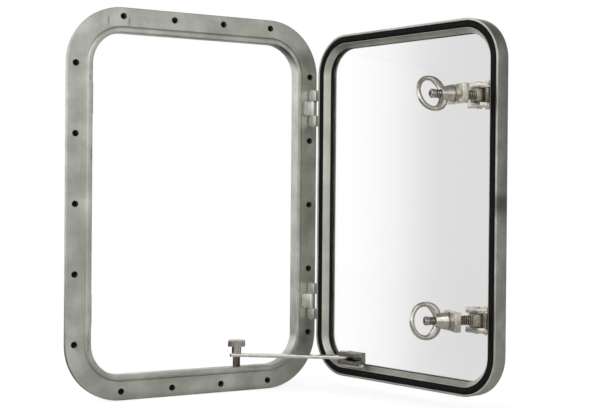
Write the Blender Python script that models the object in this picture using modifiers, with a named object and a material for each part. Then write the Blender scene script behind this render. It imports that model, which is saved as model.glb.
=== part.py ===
"""Side-hung glazed ship's hatch, shown open: bolted frame, glazed sash, swing-bolt clamps and stay.

Metres, +Z up. X runs along the frame, +Y points into the vessel. The origin is on the flange's
seating face, midway along the bottom row of bolt holes. Every piece is drawn where it lies with the
sash shut and the clamps pointing inward; pivots then swing the moving pieces to the open pose.
"""

import math

import bmesh
import bpy
from mathutils import Matrix, Vector

MM = 0.001

# Bolt pattern and flange
HOLE_PITCH_X = 100 * MM
HOLE_PITCH_Z = 125 * MM
HOLES_ACROSS = 4
HOLES_UP = 5
CORNER_REACH = 89 * MM  # from the last hole of a row to the line of the next row
HOLE_DIAMETER = 10.5 * MM
FLANGE_EDGE = 16 * MM  # hole line to outer edge
FLANGE_THICKNESS = 10 * MM
EDGE_CHAMFER = 1 * MM

# Raised rim and spigot, as distances inward from the hole line
RIM_BASE = 18 * MM
RIM_TOP = 20.5 * MM
CLEAR_EDGE = 30 * MM
RIM_HEIGHT = 5.5 * MM
SPIGOT_DEPTH = 10 * MM
SPIGOT_WALL = 8 * MM

# Sash section, as distances inward from its outer edge and outward from the gasket face
SASH_LAP = 15.5 * MM  # sash edge outside the clear opening
SASH_DEPTH = 28 * MM
SASH_LIP = 3 * MM
GASKET_WIDTH = 12 * MM
GASKET_DEPTH = 10 * MM
GASKET_CROWN = 2 * MM
BEAD_WIDTH = 10 * MM
BEAD_LAND = 1 * MM
BEVEL_DROP = 6.3 * MM
SEAL_WIDTH = 4 * MM
GLASS_DEPTH = 19 * MM  # gasket face to the inner face of the glass
GLASS_THICKNESS = 6 * MM

# Hinges
HINGE_AXIS_OUT = 17 * MM  # sash edge to hinge axis
HINGE_RAISE = 8 * MM  # axis in front of the flange face
HINGE_SPACING = 376 * MM
KNUCKLE_LENGTH = 20 * MM
LEAF_LENGTH = 28 * MM
LEAF_REACH = 15 * MM
LEAF_THICKNESS = 5.5 * MM
PIN_RADIUS = 4 * MM
PIN_HEAD = 2 * MM
SASH_OPEN = math.radians(101.3)

# Swing-bolt clamps
CLAMP_SPACING = 380 * MM
CLAMP_INSET = 25 * MM  # clear edge to clamp pivot
CLAMP_SWING = (math.radians(18), math.radians(28))  # upper and lower, off the inward direction
EYE_SIZE = 23 * MM
EAR_THICKNESS = 9 * MM
EAR_REACH = 21 * MM
EAR_HALF_DEPTH = 11.5 * MM
EAR_CHAMFER = 6 * MM
CLAMP_PIN_RADIUS = 5 * MM
ROD_RADIUS = 7.9 * MM
ROD_LENGTH = 92 * MM
BLOCK_SIZE = 36 * MM
BLOCK_THICKNESS = 14 * MM
BLOCK_SEAT = 33 * MM  # pivot to the block's bearing face
NUT_BASE_RADIUS = 16 * MM
NUT_TIP_RADIUS = 11 * MM
NUT_LENGTH = 26 * MM
RING_RADIUS = 30 * MM
RING_WIRE = 4.2 * MM
RING_CENTRE = 92 * MM
RING_TURN = (math.radians(35), 0.0)  # upper and lower, about the bolt
KEEPER_REACH = 10 * MM  # past the clear opening's edge
KEEPER_LENGTH = 56 * MM

# Stay
POST_X = 89 * MM
POST_INSET = 7 * MM  # post centre to the spigot's rear edge
POST_RADIUS = 7 * MM
STUD_RADIUS = 4.5 * MM
BAR_RISE = 21 * MM  # sill to the middle of the bar
BAR_THICKNESS = 6 * MM
BAR_HALF_WIDTH = 8 * MM
BAR_TAIL = 13 * MM  # stud centre to the bar's free end
STAY_PIVOT_OUT = 102 * MM  # hinge axis to stay pivot, along the sash
STAY_PIVOT_IN = 5 * MM  # hinge axis to stay pivot, square to the sash
STAY_PIN_RADIUS = 4 * MM
JAW_THICKNESS = 7.5 * MM
JAW_HALF_WIDTH = 13 * MM
JAW_NOSE = 12 * MM
WEB_GAP = 9.5 * MM
WEB_THICKNESS = 9 * MM
FOOT_DEPTH = 9 * MM
KNOB_RADIUS = 18.5 * MM
KNOB_HEIGHT = 12 * MM
NECK_RADIUS = 9 * MM
NECK_HEIGHT = 13.5 * MM
STUD_COVER = 3 * MM

# Fits and facets
GAP = 0.3 * MM
RUNNING = 0.5 * MM
WELD_DISTANCE = 0.001 * MM
SHARP_ANGLE = math.radians(35)
CORNER_STEPS = 7
ROUND_STEPS = 24
HOLE_STEPS = 16
RING_STEPS = 32
WIRE_STEPS = 10
KNOB_SIDES = 6
NOTCH_STEPS = 40
NOTCH_STEP_TURN = 1 / 160  # share of the sash's swing between points of the notch

# Derived layout
HOLE_WIDTH = (HOLES_ACROSS - 1) * HOLE_PITCH_X + 2 * CORNER_REACH
HOLE_HEIGHT = (HOLES_UP - 1) * HOLE_PITCH_Z + 2 * CORNER_REACH
CENTRE_Z = HOLE_HEIGHT / 2
FRONT_Y = -FLANGE_THICKNESS
RIM_Y = FRONT_Y - RIM_HEIGHT
CLEAR_X = HOLE_WIDTH / 2 - CLEAR_EDGE
CLEAR_Z = HOLE_HEIGHT / 2 - CLEAR_EDGE
GASKET_Y = RIM_Y - GAP
LIP_Y = GASKET_Y - GAP
WEATHER_Y = LIP_Y - SASH_DEPTH
SASH_X = CLEAR_X + SASH_LAP
SASH_Z = CLEAR_Z + SASH_LAP
SASH_CORNER = CORNER_REACH - CLEAR_EDGE + SASH_LAP
GLASS_Y = LIP_Y - GLASS_DEPTH
RAIL_WIDTH = SASH_LIP + GASKET_WIDTH + BEAD_WIDTH
BEVEL_TOP = SASH_LIP + GASKET_WIDTH + BEAD_LAND
BEVEL_LOW_Y = LIP_Y - BEVEL_DROP
HINGE_X = SASH_X + HINGE_AXIS_OUT
HINGE_Y = FRONT_Y - HINGE_RAISE
KNUCKLE_RADIUS = HINGE_RAISE - GAP
CLAMP_X = -(CLEAR_X - CLAMP_INSET)
CLAMP_Y = LIP_Y
POST_Y = SPIGOT_DEPTH - POST_INSET
BAR_Z = CENTRE_Z - CLEAR_Z + BAR_RISE
STAY_X = HINGE_X - STAY_PIVOT_OUT
STAY_Y = HINGE_Y + STAY_PIVOT_IN

HINGE_ZS = (CENTRE_Z + HINGE_SPACING / 2, CENTRE_Z - HINGE_SPACING / 2)
CLAMP_ZS = (CENTRE_Z + CLAMP_SPACING / 2, CENTRE_Z - CLAMP_SPACING / 2)
LEVELS = ("upper", "lower")

SATIN_ALUMINIUM = ("satin_aluminium", (0.37, 0.37, 0.33), 0.45, 1.0)
STAINLESS = ("stainless_steel", (0.55, 0.53, 0.49), 0.3, 1.0)
BLACK_RUBBER = ("black_rubber", (0.01, 0.01, 0.01), 0.6, 0.0)
CLEAR_GLASS = ("clear_glass", (0.8, 0.85, 0.85), 0.05, 0.0)


def clear_scene():
    for thing in list(bpy.data.objects):
        bpy.data.objects.remove(thing)
    for group in list(bpy.data.collections):
        bpy.data.collections.remove(group)


def new_collection(name):
    group = bpy.data.collections.new(name)
    bpy.context.scene.collection.children.link(group)
    return group


def material(finish):
    name, colour, roughness, metallic = finish
    made = bpy.data.materials.get(name)
    if made is None:
        made = bpy.data.materials.new(name)
        made.use_nodes = True
        shader = made.node_tree.nodes["Principled BSDF"]
        shader.inputs["Base Color"].default_value = (*colour, 1)
        shader.inputs["Roughness"].default_value = roughness
        shader.inputs["Metallic"].default_value = metallic
    return made


def link_mesh(name, mesh, group, finish=None):
    thing = bpy.data.objects.new(name, mesh)
    group.objects.link(thing)
    if finish:
        mesh.materials.append(material(finish))
    mesh.shade_smooth()
    mesh.set_sharp_from_angle(angle=SHARP_ANGLE)
    return thing


def closed_mesh(curve_object):
    """Turns a curve into a welded mesh with its faces pointing out, and removes the curve."""
    graph = bpy.context.evaluated_depsgraph_get()
    mesh = bpy.data.meshes.new_from_object(curve_object.evaluated_get(graph))
    mesh.transform(curve_object.matrix_world)
    bpy.data.objects.remove(curve_object)
    work = bmesh.new()
    work.from_mesh(mesh)
    bmesh.ops.remove_doubles(work, verts=work.verts, dist=WELD_DISTANCE)
    bmesh.ops.recalc_face_normals(work, faces=work.faces)
    work.to_mesh(mesh)
    work.free()
    return mesh


def flat_curve(name, outlines):
    data = bpy.data.curves.new(name, "CURVE")
    data.dimensions = "2D"
    for outline in outlines:
        spline = data.splines.new("POLY")
        spline.points.add(len(outline) - 1)
        spline.use_cyclic_u = True
        for point, (x, y) in zip(spline.points, outline):
            point.co = (x, y, 0, 1)
    thing = bpy.data.objects.new(name, data)
    bpy.context.scene.collection.objects.link(thing)
    return thing


def arc(centre, radius, start, stop, steps):
    """Points from start to stop degrees round a centre."""
    turns = (math.radians(start + (stop - start) * i / steps) for i in range(steps + 1))
    return [(centre[0] + radius * math.cos(a), centre[1] + radius * math.sin(a)) for a in turns]


def circle(centre, radius, steps=ROUND_STEPS):
    return arc(centre, radius, 0, 360, steps)[:-1]


def rounded_rectangle(half_x, half_z, radius):
    corners = ((1, 1, 0), (-1, 1, 90), (-1, -1, 180), (1, -1, 270))
    points = []
    for sx, sz, start in corners:
        centre = (sx * (half_x - radius), sz * (half_z - radius))
        points += arc(centre, radius, start, start + 90, CORNER_STEPS)
    return points


def plan_prism(name, outlines, low, high, group, finish=None):
    """A plan outline, with any holes, raised from z = low to z = high."""
    drawn = flat_curve(name, outlines)
    drawn.data.fill_mode = "BOTH"
    drawn.data.extrude = (high - low) / 2
    drawn.location.z = (high + low) / 2
    bpy.context.view_layer.update()
    return link_mesh(name, closed_mesh(drawn), group, finish)


def upright(mesh):
    """Stands a mesh drawn in the XY plane up in the frame's plane, its front towards -Y."""
    mesh.transform(Matrix.Translation((0, 0, CENTRE_Z)) @ Matrix.Rotation(math.pi / 2, 4, "X"))
    return mesh


def ring_of_section(name, half_x, half_z, radius, section, group, finish):
    """A section, as (inward, y) points, swept round a rounded rectangle in the frame's plane."""
    path = flat_curve(name, [rounded_rectangle(half_x, half_z, radius)])
    profile = flat_curve(name + "_section", [[(inward, -y) for inward, y in section]])
    path.data.fill_mode = "NONE"
    path.data.bevel_mode = "OBJECT"
    path.data.bevel_object = profile
    bpy.context.view_layer.update()
    mesh = upright(closed_mesh(path))
    bpy.data.objects.remove(profile)
    return link_mesh(name, mesh, group, finish)


def turned(name, profile, place, group, finish=None, along="Z", steps=ROUND_STEPS):
    """A (radius, height) profile, top to bottom, turned about an axis through place."""
    mesh = bpy.data.meshes.new(name)
    points = [(radius, 0, height) for radius, height in profile]
    mesh.from_pydata(points, [(i, i + 1) for i in range(len(points) - 1)], [])
    thing = bpy.data.objects.new(name, mesh)
    bpy.context.scene.collection.objects.link(thing)
    screw = thing.modifiers.new("turn", "SCREW")
    screw.steps = steps
    screw.render_steps = steps
    screw.use_merge_vertices = True
    screw.merge_threshold = WELD_DISTANCE
    bpy.context.view_layer.update()
    solid = closed_mesh(thing)
    if along == "Y":
        solid.transform(Matrix.Rotation(-math.pi / 2, 4, "X"))
    solid.transform(Matrix.Translation(place))
    return link_mesh(name, solid, group, finish)


def box(name, low, high, group, finish=None, chamfer=0.0):
    mesh = bpy.data.meshes.new(name)
    work = bmesh.new()
    bmesh.ops.create_cube(work, size=1)
    span = Vector(high) - Vector(low)
    bmesh.ops.scale(work, vec=span, verts=work.verts)
    bmesh.ops.translate(work, vec=(Vector(low) + Vector(high)) / 2, verts=work.verts)
    if chamfer:
        bmesh.ops.bevel(work, geom=work.edges, offset=chamfer, segments=1, affect="EDGES")
    work.to_mesh(mesh)
    work.free()
    return link_mesh(name, mesh, group, finish)


def combine(thing, other, operation):
    """Applies a Boolean with another object, which is kept as a hidden helper."""
    step = thing.modifiers.new(operation.lower(), "BOOLEAN")
    step.operation = operation
    step.object = other
    step.solver = "EXACT"
    other.hide_render = True
    other.display_type = "WIRE"
    graph = bpy.context.evaluated_depsgraph_get()
    mesh = bpy.data.meshes.new_from_object(thing.evaluated_get(graph))
    thing.modifiers.clear()
    thing.data = mesh
    return thing


def paired(middle, near, far):
    """The heights of two like pieces, one above and one below a middle height."""
    return (("top", (middle + near, middle + far)), ("bottom", (middle - far, middle - near)))


def pivot(name, place, parent, group):
    """An empty on a joint axis. Places are those of the shut hatch."""
    made = bpy.data.objects.new(name, None)
    group.objects.link(made)
    made["shut_place"] = place
    made.location = Vector(place) - (Vector(parent["shut_place"]) if parent else Vector())
    made.parent = parent
    return made


def hang(thing, axis):
    """Moves a piece's origin to a pivot and parents it there."""
    thing.data.transform(Matrix.Translation(-Vector(axis["shut_place"])))
    thing.parent = axis
    return thing


def bolt_holes(group):
    """One cutter for every hole of the flange."""
    half_x, half_z = HOLE_WIDTH / 2, HOLE_HEIGHT / 2
    across = [(i - (HOLES_ACROSS - 1) / 2) * HOLE_PITCH_X for i in range(HOLES_ACROSS)]
    up = [(i - (HOLES_UP - 1) / 2) * HOLE_PITCH_Z for i in range(HOLES_UP)]
    places = [(x, side * half_z) for x in across for side in (-1, 1)]
    places += [(side * half_x, z) for z in up for side in (-1, 1)]
    rings = [circle(place, HOLE_DIAMETER / 2, HOLE_STEPS) for place in places]
    deep = FLANGE_THICKNESS * 2
    cutter = plan_prism("bolt_hole_cutter", rings, -deep, deep, group)
    upright(cutter.data)
    return cutter


def make_frame(parts, cutters):
    outer = -FLANGE_EDGE
    section = [
        (outer, -EDGE_CHAMFER),
        (outer, FRONT_Y + EDGE_CHAMFER),
        (outer + EDGE_CHAMFER, FRONT_Y),
        (RIM_BASE, FRONT_Y),
        (RIM_TOP, RIM_Y + EDGE_CHAMFER),
        (RIM_TOP + EDGE_CHAMFER, RIM_Y),
        (CLEAR_EDGE - EDGE_CHAMFER, RIM_Y),
        (CLEAR_EDGE, RIM_Y + EDGE_CHAMFER),
        (CLEAR_EDGE, SPIGOT_DEPTH),
        (CLEAR_EDGE - SPIGOT_WALL, SPIGOT_DEPTH),
        (CLEAR_EDGE - SPIGOT_WALL, 0),
        (outer + EDGE_CHAMFER, 0),
    ]
    half_x, half_z = HOLE_WIDTH / 2, HOLE_HEIGHT / 2
    frame = ring_of_section(
        "hatch_frame", half_x, half_z, CORNER_REACH, section, parts, SATIN_ALUMINIUM
    )
    return combine(frame, bolt_holes(cutters), "DIFFERENCE")


def make_keepers(parts):
    """Plates on the spigot's rear edge, behind which the clamps' pressure blocks draw up."""
    front = SPIGOT_DEPTH + GAP
    rear = CLAMP_Y + BLOCK_SEAT - GAP
    for level, z in zip(LEVELS, CLAMP_ZS):
        low = (-CLEAR_X - SPIGOT_WALL, front, z - KEEPER_LENGTH / 2)
        high = (-CLEAR_X + KEEPER_REACH, rear, z + KEEPER_LENGTH / 2)
        box(f"keeper_{level}", low, high, parts, SATIN_ALUMINIUM, EDGE_CHAMFER)


def make_hinges(parts, sash):
    """Three-knuckle hinges: the middle knuckle on the flange, the outer two on the sash."""
    axis = (HINGE_X, HINGE_Y)
    bore = circle(axis, PIN_RADIUS + GAP)
    half_leaf = LEAF_LENGTH / 2
    foot_y = FRONT_Y - GAP
    leaf = [(HINGE_X - LEAF_REACH, foot_y), (HINGE_X, foot_y)]
    leaf += arc(axis, KNUCKLE_RADIUS, 90, -150, ROUND_STEPS)[1:]
    leaf += [(HINGE_X - KNUCKLE_RADIUS, foot_y - LEAF_THICKNESS)]
    leaf += [(HINGE_X - LEAF_REACH, foot_y - LEAF_THICKNESS)]
    wall = SASH_X + GAP
    inner = HINGE_Y + KNUCKLE_RADIUS - RUNNING
    arm = [(wall, HINGE_Y - KNUCKLE_RADIUS), (wall, inner), (HINGE_X, inner)]
    arm += arc(axis, KNUCKLE_RADIUS - RUNNING, 90, -90, ROUND_STEPS // 2)[1:]
    arm += [(HINGE_X, HINGE_Y - KNUCKLE_RADIUS)]
    for level, z in zip(LEVELS, HINGE_ZS):
        plan_prism(
            f"hinge_leaf_{level}", [leaf, bore], z - half_leaf, z + half_leaf, parts, SATIN_ALUMINIUM
        )
        near = half_leaf + RUNNING
        far = near + KNUCKLE_LENGTH
        for side, (low, high) in paired(z, near, far):
            name = f"sash_knuckle_{level}_{side}"
            hang(plan_prism(name, [arm, bore], low, high, parts, SATIN_ALUMINIUM), sash)
        tip = far + PIN_HEAD
        head = PIN_RADIUS + 2 * GAP + PIN_HEAD / 2
        profile = [
            (0, tip),
            (PIN_RADIUS, tip),
            (head, far + PIN_HEAD / 2),
            (head, far + GAP),
            (PIN_RADIUS, far + GAP),
            (PIN_RADIUS, -tip),
            (0, -tip),
        ]
        turned(f"hinge_pin_{level}", profile, (*axis, z), parts, STAINLESS)


def make_sash(parts, sash):
    ends = (SASH_X, SASH_Z, SASH_CORNER)
    channel = SASH_LIP + GASKET_WIDTH
    floor_y = LIP_Y - GASKET_DEPTH
    shelf_y = GLASS_Y - GLASS_THICKNESS - GAP
    shell = [
        (0, WEATHER_Y + EDGE_CHAMFER),
        (0, LIP_Y),
        (SASH_LIP, LIP_Y),
        (SASH_LIP, floor_y),
        (channel - GAP, floor_y),
        (channel - GAP, shelf_y),
        (RAIL_WIDTH, shelf_y),
        (RAIL_WIDTH, WEATHER_Y),
        (EDGE_CHAMFER, WEATHER_Y),
    ]
    inside = SASH_LIP + GAP
    outside = channel - 2 * GAP
    gasket = [
        (inside, floor_y + GAP),
        (inside, GASKET_Y - GASKET_CROWN),
        (inside + GASKET_CROWN, GASKET_Y),
        (outside - GASKET_CROWN, GASKET_Y),
        (outside, GASKET_Y - GASKET_CROWN),
        (outside, floor_y + GAP),
    ]
    under = BEVEL_LOW_Y - GAP
    seat = GLASS_Y + GAP
    bead = [
        (channel, LIP_Y),
        (channel, seat),
        (RAIL_WIDTH - SEAL_WIDTH, seat),
        (RAIL_WIDTH - SEAL_WIDTH, under),
        (RAIL_WIDTH, under),
        (RAIL_WIDTH, BEVEL_LOW_Y),
        (BEVEL_TOP, LIP_Y),
    ]
    seal = [
        (RAIL_WIDTH - SEAL_WIDTH + GAP, under - GAP),
        (RAIL_WIDTH - SEAL_WIDTH + GAP, seat),
        (RAIL_WIDTH, seat),
        (RAIL_WIDTH, under - GAP),
    ]
    hang(ring_of_section("sash_frame", *ends, shell, parts, SATIN_ALUMINIUM), sash)
    hang(ring_of_section("sash_gasket", *ends, gasket, parts, BLACK_RUBBER), sash)
    hang(ring_of_section("glazing_bead", *ends, bead, parts, SATIN_ALUMINIUM), sash)
    hang(ring_of_section("glazing_seal", *ends, seal, parts, BLACK_RUBBER), sash)
    inset = channel + GAP
    outline = rounded_rectangle(SASH_X - inset, SASH_Z - inset, SASH_CORNER - inset)
    back = GLASS_Y - GLASS_THICKNESS
    glass = plan_prism("glass_pane", [outline], -GLASS_Y, -back, parts, CLEAR_GLASS)
    upright(glass.data)
    hang(glass, sash)


def ear_outline():
    """A clamp ear in plan, its heel following the bead's bevel."""
    slope = BEVEL_DROP / (RAIL_WIDTH - BEVEL_TOP)
    lift = 2 * GAP
    heel = -(SASH_X - BEVEL_TOP) + 2 * BEAD_LAND
    toe = -(SASH_X - RAIL_WIDTH) + lift
    heel_y = LIP_Y - 2 * BEAD_LAND * slope + lift
    inner = CLAMP_Y + EAR_HALF_DEPTH
    outer = CLAMP_Y - EAR_HALF_DEPTH
    nose = CLAMP_X + EAR_REACH
    return [
        (heel, heel_y),
        (toe, BEVEL_LOW_Y + lift),
        (toe, outer),
        (nose - EAR_CHAMFER, outer),
        (nose, outer + EAR_CHAMFER),
        (nose, inner - EAR_CHAMFER),
        (nose - EAR_CHAMFER, inner),
        (toe + EAR_CHAMFER / 2, inner),
        (heel + 2 * BEAD_LAND, heel_y + 2 * BEAD_LAND),
    ]


def make_clamp(index, parts, cutters, sash):
    level, z = LEVELS[index], CLAMP_ZS[index]
    axis = (CLAMP_X, CLAMP_Y)
    half_eye = EYE_SIZE / 2
    ear_in = half_eye + RUNNING
    ear_out = ear_in + EAR_THICKNESS
    outlines = [ear_outline(), circle(axis, CLAMP_PIN_RADIUS + GAP)]
    for side, (low, high) in paired(z, ear_in, ear_out):
        name = f"clamp_ear_{level}_{side}"
        hang(plan_prism(name, outlines, low, high, parts, STAINLESS), sash)
    head = CLAMP_PIN_RADIUS + 2 * GAP + PIN_HEAD / 2
    tip = ear_out + PIN_HEAD
    pin = [
        (0, tip),
        (CLAMP_PIN_RADIUS, tip),
        (head, ear_out + PIN_HEAD / 2),
        (head, ear_out + GAP),
        (CLAMP_PIN_RADIUS, ear_out + GAP),
        (CLAMP_PIN_RADIUS, -tip),
        (0, -tip),
    ]
    hang(turned(f"clamp_pin_{level}", pin, (*axis, z), parts, STAINLESS), sash)

    swing = pivot(f"clamp_swing_{level}", (*axis, z), sash, parts)
    swing.rotation_euler.z = -CLAMP_SWING[index]
    reach = Vector((half_eye, half_eye, half_eye))
    centre = Vector((*axis, z))
    bolt = box(f"swing_bolt_{level}", centre - reach, centre + reach, parts, STAINLESS, 2 * EDGE_CHAMFER)
    rod = [
        (0, ROD_LENGTH),
        (ROD_RADIUS - EDGE_CHAMFER, ROD_LENGTH),
        (ROD_RADIUS, ROD_LENGTH - EDGE_CHAMFER),
        (ROD_RADIUS, CLAMP_PIN_RADIUS + 2 * EDGE_CHAMFER),
        (0, CLAMP_PIN_RADIUS + 2 * EDGE_CHAMFER),
    ]
    combine(bolt, turned(f"rod_{level}", rod, centre, cutters, along="Y"), "UNION")
    bore = [circle(axis, CLAMP_PIN_RADIUS + GAP)]
    eye = plan_prism(f"eye_bore_{level}", bore, z - EYE_SIZE, z + EYE_SIZE, cutters)
    combine(bolt, eye, "DIFFERENCE")
    hang(bolt, swing)

    half_block = Vector((BLOCK_SIZE / 2, 0, BLOCK_SIZE / 2))
    near = centre + Vector((0, BLOCK_SEAT, 0)) - half_block
    far = centre + Vector((0, BLOCK_SEAT + BLOCK_THICKNESS, 0)) + half_block
    block = box(f"pressure_block_{level}", near, far, parts, STAINLESS, EDGE_CHAMFER)
    base = BLOCK_SEAT + BLOCK_THICKNESS + GAP
    sleeve = [(0, base + NUT_LENGTH * 2), (ROD_RADIUS + GAP, base + NUT_LENGTH * 2)]
    sleeve += [(ROD_RADIUS + GAP, EYE_SIZE), (0, EYE_SIZE)]
    bore = turned(f"bolt_bore_{level}", sleeve, centre, cutters, along="Y")
    hang(combine(block, bore, "DIFFERENCE"), swing)

    spin = pivot(f"ring_nut_spin_{level}", (*axis, z), swing, parts)
    spin.rotation_euler.y = RING_TURN[index]
    cone = [
        (0, base + NUT_LENGTH),
        (NUT_TIP_RADIUS, base + NUT_LENGTH),
        (NUT_BASE_RADIUS, base + EDGE_CHAMFER),
        (NUT_BASE_RADIUS, base),
        (0, base),
    ]
    nut = turned(f"ring_nut_{level}", cone, centre, parts, STAINLESS, along="Y")
    bpy.ops.mesh.primitive_torus_add(
        major_radius=RING_RADIUS,
        minor_radius=RING_WIRE,
        major_segments=RING_STEPS,
        minor_segments=WIRE_STEPS,
        location=centre + Vector((0, RING_CENTRE, 0)),
        rotation=(0, math.pi / 2, 0),
    )
    ring = bpy.context.object
    bpy.context.scene.collection.objects.unlink(ring)
    cutters.objects.link(ring)
    bpy.context.view_layer.update()
    combine(nut, ring, "UNION")
    hang(combine(nut, bore, "DIFFERENCE"), spin)


def stay_layout():
    """The bar's length, and its turn on the sash from shut to open, with its hook on the post."""
    start = Vector((STAY_X - HINGE_X, STAY_Y - HINGE_Y)).to_3d()
    opened = Matrix.Rotation(SASH_OPEN, 3, "Z") @ start + Vector((HINGE_X, HINGE_Y, 0))
    run = Vector((POST_X, POST_Y, 0)) - opened
    turn = math.atan2(run.y, run.x) - math.pi - SASH_OPEN
    return run.length, turn


def notch_path(turn):
    """Where the stud lies on the shut bar, from the open pose until it is clear of the bar."""
    points = []
    for i in range(NOTCH_STEPS):
        share = i * NOTCH_STEP_TURN
        sash_turn = SASH_OPEN * (1 - share)
        swing = Matrix.Rotation(sash_turn, 3, "Z")
        start = Vector((STAY_X - HINGE_X, STAY_Y - HINGE_Y, 0))
        pin = swing @ start + Vector((HINGE_X, HINGE_Y, 0))
        bar_turn = sash_turn + turn * (1 - share)
        seen = Matrix.Rotation(-bar_turn, 3, "Z") @ (Vector((POST_X, POST_Y, 0)) - pin)
        points.append(Vector((STAY_X + seen.x, STAY_Y + seen.y)))
        if abs(seen.y) > 2 * BAR_HALF_WIDTH:
            break
    return points


def widened(path, half_width):
    """The outline of a path with round start, half_width to each side of it."""
    sides = [[], []]
    for i, point in enumerate(path):
        ahead = path[min(i + 1, len(path) - 1)] - path[max(i - 1, 0)]
        normal = Vector((-ahead.y, ahead.x)).normalized() * half_width
        sides[0].append(point + normal)
        sides[1].append(point - normal)
    first = sides[0][0] - path[0]
    start = math.degrees(math.atan2(first.y, first.x))
    nose = arc(path[0], half_width, start, start + 180, ROUND_STEPS // 2)[1:-1]
    return [tuple(p) for p in reversed(sides[0])] + nose + [tuple(p) for p in sides[1]]


def make_stay(parts, cutters, sash):
    length, turn = stay_layout()
    low, high = BAR_Z - BAR_THICKNESS / 2, BAR_Z + BAR_THICKNESS / 2
    axis = (STAY_X, STAY_Y)
    free = (STAY_X - length - BAR_TAIL + BAR_HALF_WIDTH, STAY_Y)
    outline = arc(axis, BAR_HALF_WIDTH, -90, 90, ROUND_STEPS // 2)
    outline += arc(free, BAR_HALF_WIDTH, 90, 270, ROUND_STEPS // 2)
    bore = circle(axis, STAY_PIN_RADIUS + GAP)
    bar = plan_prism("stay_bar", [outline, bore], low, high, parts, STAINLESS)
    path = notch_path(turn)
    deep = BAR_THICKNESS
    slot = widened(path, STUD_RADIUS + RUNNING)
    notch = plan_prism("hook_notch_cutter", [slot], low - deep, high + deep, cutters)
    combine(bar, notch, "DIFFERENCE")
    swing = pivot("stay_swing", (*axis, BAR_Z), sash, parts)
    swing.rotation_euler.z = turn
    hang(bar, swing)

    slot_low, slot_high = low - RUNNING, high + RUNNING
    top = slot_high + JAW_THICKNESS
    bottom = slot_low - JAW_THICKNESS
    nose = STAY_Y + JAW_NOSE
    web = STAY_Y - WEB_GAP
    back = web - WEB_THICKNESS
    sides = (STAY_X - JAW_HALF_WIDTH, STAY_X + JAW_HALF_WIDTH)
    clevis = box("stay_clevis", (sides[0], back, bottom), (sides[1], nose, top), parts, STAINLESS)
    wide = JAW_HALF_WIDTH * 2
    gap = box(
        "clevis_slot_cutter",
        (STAY_X - wide, web, slot_low),
        (STAY_X + wide, nose + wide, slot_high),
        cutters,
    )
    combine(clevis, gap, "DIFFERENCE")
    bead_z = CENTRE_Z - SASH_Z + RAIL_WIDTH
    slope = (RAIL_WIDTH - BEVEL_TOP) / BEVEL_DROP
    foot = [
        (BEVEL_LOW_Y, bead_z + 2 * GAP),
        (BEVEL_LOW_Y + FOOT_DEPTH / 2, bead_z + 2 * GAP - FOOT_DEPTH / 2 * slope),
        (BEVEL_LOW_Y + FOOT_DEPTH, bottom),
        (BEVEL_LOW_Y + FOOT_DEPTH, bottom + GAP),
        (BEVEL_LOW_Y, bottom + GAP),
    ]
    heel = plan_prism("clevis_foot", [foot], sides[0], sides[1], cutters)
    heel.data.transform(Matrix(((0, 0, 1, 0), (1, 0, 0, 0), (0, 1, 0, 0), (0, 0, 0, 1))))
    combine(clevis, heel, "UNION")
    bore = [circle(axis, STAY_PIN_RADIUS + GAP)]
    combine(clevis, plan_prism("clevis_bore", bore, bottom - deep, top + deep, cutters), "DIFFERENCE")
    hang(clevis, sash)
    head = STAY_PIN_RADIUS + 2 * PIN_HEAD
    pin = [
        (0, top + GAP + PIN_HEAD),
        (head / 2, top + GAP + PIN_HEAD),
        (head, top + GAP + PIN_HEAD / 2),
        (head, top + GAP),
        (STAY_PIN_RADIUS, top + GAP),
        (STAY_PIN_RADIUS, bottom + GAP),
        (0, bottom + GAP),
    ]
    hang(turned("stay_pin", pin, (*axis, 0), parts, STAINLESS), sash)

    sill = CENTRE_Z - CLEAR_Z + GAP
    neck = high + GAP
    head_low = neck + NECK_HEIGHT
    stud_top = head_low + KNOB_HEIGHT - STUD_COVER
    post = [
        (0, stud_top),
        (STUD_RADIUS, stud_top),
        (STUD_RADIUS, low - GAP),
        (POST_RADIUS, low - GAP),
        (POST_RADIUS, sill),
        (0, sill),
    ]
    turned("stay_post", post, (POST_X, POST_Y, 0), parts, STAINLESS)
    rim = KNOB_RADIUS - 2 * EDGE_CHAMFER
    head = [
        (0, KNOB_HEIGHT),
        (rim, KNOB_HEIGHT),
        (KNOB_RADIUS, KNOB_HEIGHT - EDGE_CHAMFER),
        (KNOB_RADIUS, 0),
        (0, 0),
    ]
    spin = pivot("knob_spin", (POST_X, POST_Y, head_low), None, parts)
    knob = turned("stay_knob", head, (POST_X, POST_Y, head_low), parts, STAINLESS, steps=KNOB_SIDES)
    stem = [(0, KNOB_HEIGHT / 2), (NECK_RADIUS, KNOB_HEIGHT / 2), (NECK_RADIUS, -NECK_HEIGHT)]
    stem.append((0, -NECK_HEIGHT))
    combine(knob, turned("knob_neck", stem, (POST_X, POST_Y, head_low), cutters), "UNION")
    depth = stud_top + RUNNING
    bore = [(0, depth), (STUD_RADIUS + GAP, depth), (STUD_RADIUS + GAP, sill), (0, sill)]
    combine(knob, turned("knob_bore", bore, (POST_X, POST_Y, 0), cutters), "DIFFERENCE")
    hang(knob, spin)


def main():
    clear_scene()
    parts = new_collection("ships_hatch")
    cutters = new_collection("cutters")
    sash = pivot("sash_hinge", (HINGE_X, HINGE_Y, CENTRE_Z), None, parts)
    make_frame(parts, cutters)
    make_keepers(parts)
    make_hinges(parts, sash)
    make_sash(parts, sash)
    for index in range(len(LEVELS)):
        make_clamp(index, parts, cutters, sash)
    make_stay(parts, cutters, sash)
    sash.rotation_euler.z = SASH_OPEN
    cutters.hide_render = True
    bpy.context.view_layer.update()


main()
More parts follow.
